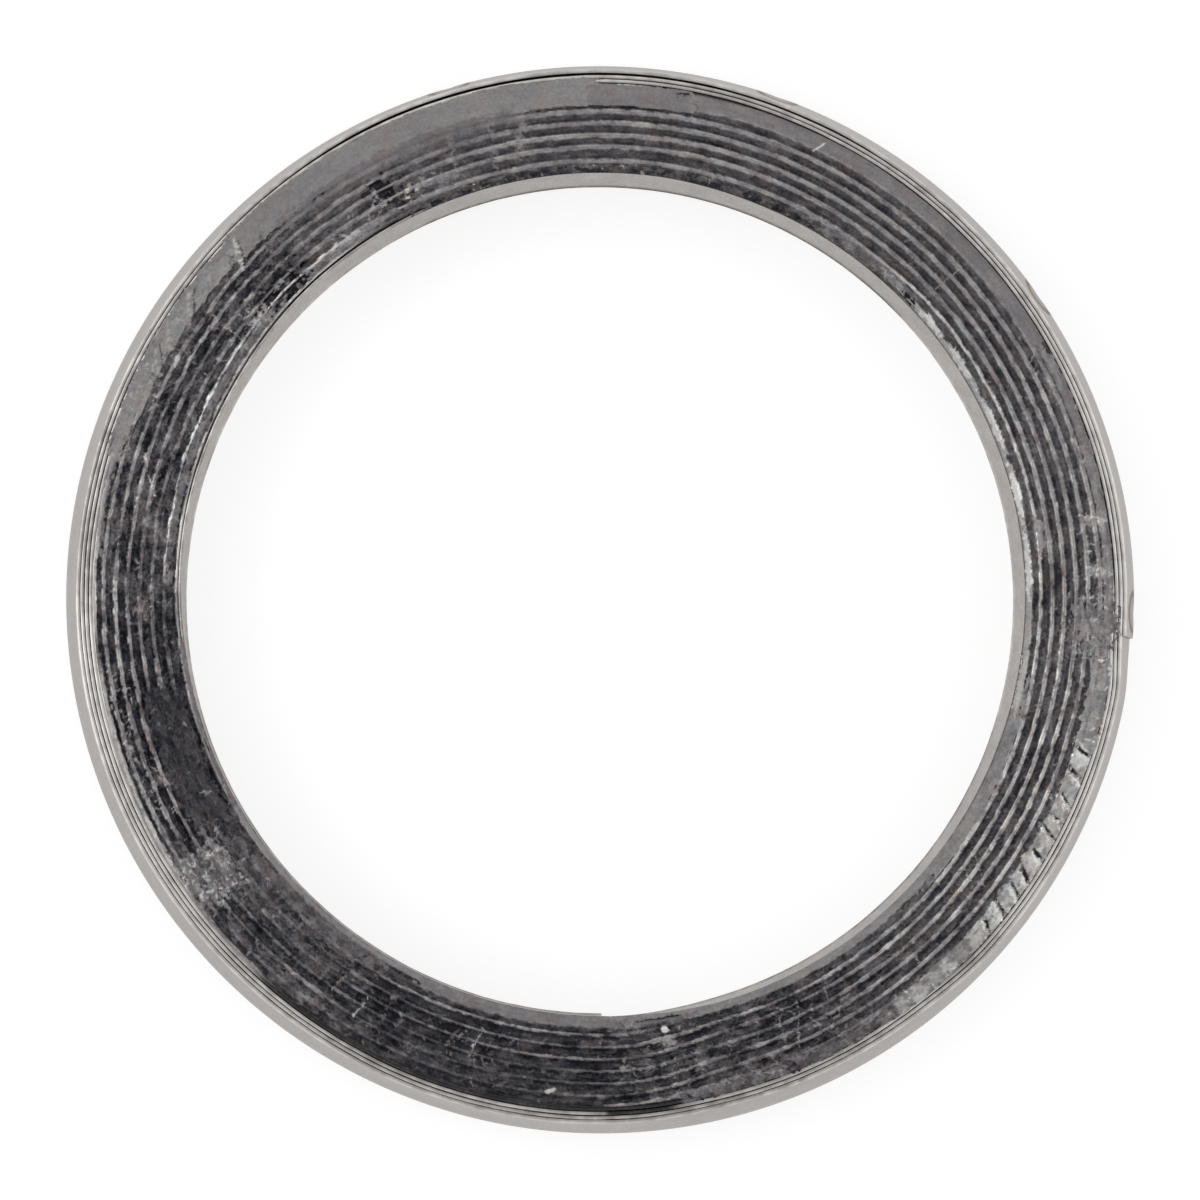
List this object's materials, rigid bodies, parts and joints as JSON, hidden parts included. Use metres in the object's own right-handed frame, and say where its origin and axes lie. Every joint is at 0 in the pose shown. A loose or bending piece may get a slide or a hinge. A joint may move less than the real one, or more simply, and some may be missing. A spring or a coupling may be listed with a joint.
{
  "type": "spiral-wound exhaust pipe flange gasket",
  "caption": "Flat ring gasket for an exhaust flange: a V-section stainless strip wound up with graphite filler tape, with bare steel turns at the bore and the rim.",
  "frame": {"origin": "middle of the underside, on the ring's axis", "axes": "+Z along the ring's axis, up through the face that the picture shows; +Y towards the top of the picture; +X towards its right"},
  "size_m": [0.0694, 0.0694, 0.0053],
  "materials": {
    "stainless_strip": "bare rolled stainless steel, smeared with graphite on the face and heat-tinted at the spot welds",
    "graphite": "flexible graphite, dark grey and dull, burnished where it has been pressed"
  },
  "bodies": {
    "root": {"steel_strip": "stainless_strip", "graphite_tape": "graphite"}
  },
  "joints": []
}
